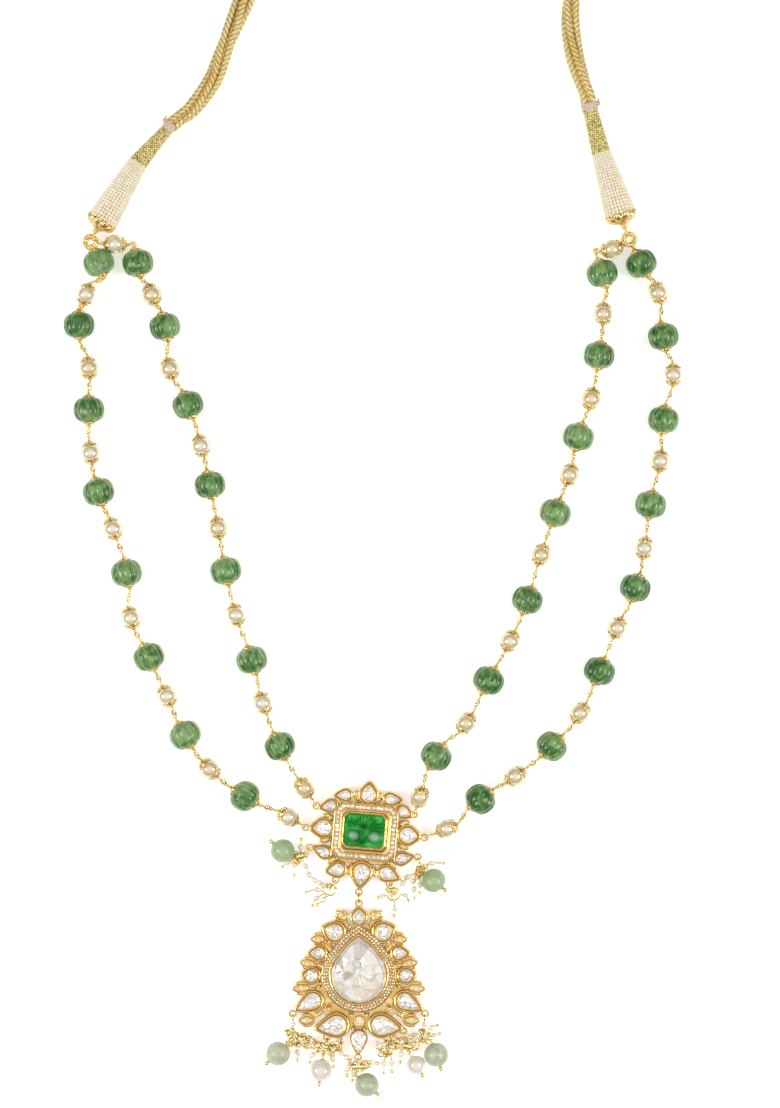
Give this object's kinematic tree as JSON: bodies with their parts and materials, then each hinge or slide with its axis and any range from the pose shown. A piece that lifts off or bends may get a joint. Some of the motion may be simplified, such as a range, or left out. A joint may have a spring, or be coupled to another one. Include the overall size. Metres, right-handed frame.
{
  "type": "temple necklace",
  "caption": "Temple necklace laid flat: rows of lobed green beads and pearls, an emerald-set centre pendant, a pear-shaped lower pendant with drops, and a gold-thread cord.",
  "frame": {"origin": "on the flat back of the centre pendant, behind the middle of its emerald", "axes": "+Z out of the pendant's face, +Y from the lower pendant up to the cord, +X to the right as it is seen"},
  "size_m": [0.2061, 0.4205, 0.0104],
  "materials": {
    "green_stone": "polished, veined",
    "emerald": "carved and polished",
    "pale_jade": "polished, milky",
    "pearl": "lustrous",
    "clear_stone": "foil-backed",
    "gold": "polished gold",
    "gold_thread": "twisted metal thread"
  },
  "bodies": {
    "root": {"melon_left_outer_1": "green_stone", "melon_left_outer_2": "green_stone", "melon_left_outer_3": "green_stone", "melon_left_outer_4": "green_stone", "melon_left_outer_5": "green_stone", "melon_left_outer_6": "green_stone", "melon_left_outer_7": "green_stone", "melon_left_outer_8": "green_stone", "melon_left_inner_1": "green_stone", "melon_left_inner_2": "green_stone", "melon_left_inner_3": "green_stone", "melon_left_inner_4": "green_stone", "melon_left_inner_5": "green_stone", "melon_left_inner_6": "green_stone", "melon_left_inner_7": "green_stone", "melon_right_inner_1": "green_stone", "melon_right_inner_2": "green_stone", "melon_right_inner_3": "green_stone", "melon_right_inner_4": "green_stone", "melon_right_inner_5": "green_stone", "melon_right_inner_6": "green_stone", "melon_right_inner_7": "green_stone", "melon_right_outer_1": "green_stone", "melon_right_outer_2": "green_stone", "melon_right_outer_3": "green_stone", "melon_right_outer_4": "green_stone", "melon_right_outer_5": "green_stone", "melon_right_outer_6": "green_stone", "melon_right_outer_7": "green_stone", "melon_right_outer_8": "green_stone", "string_left_outer": "pearl", "string_left_inner": "pearl", "string_right_inner": "pearl", "string_right_outer": "pearl", "centre_frame": "gold", "centre_emerald": "emerald", "centre_pave": "clear_stone", "centre_polki": "clear_stone", "lower_frame": "gold", "lower_polki": "clear_stone", "lower_pave": "clear_stone", "lower_petal_polki": "clear_stone", "pendant_link": "gold", "fringe_centre_left": "gold", "fringe_centre_right": "gold", "fringe_lower": "gold", "jade_centre_left": "pale_jade", "jade_centre_right": "pale_jade", "jade_lower_left": "pale_jade", "jade_lower_middle": "pale_jade", "jade_lower_right": "pale_jade", "drop_pearl_left": "pearl", "drop_pearl_right": "pearl", "cone_left": "pearl", "cone_right": "pearl", "wrap_left": "gold_thread", "wrap_right": "gold_thread", "cord_left": "gold_thread", "cord_right": "gold_thread", "slide_knot": "gold_thread"}
  },
  "joints": []
}
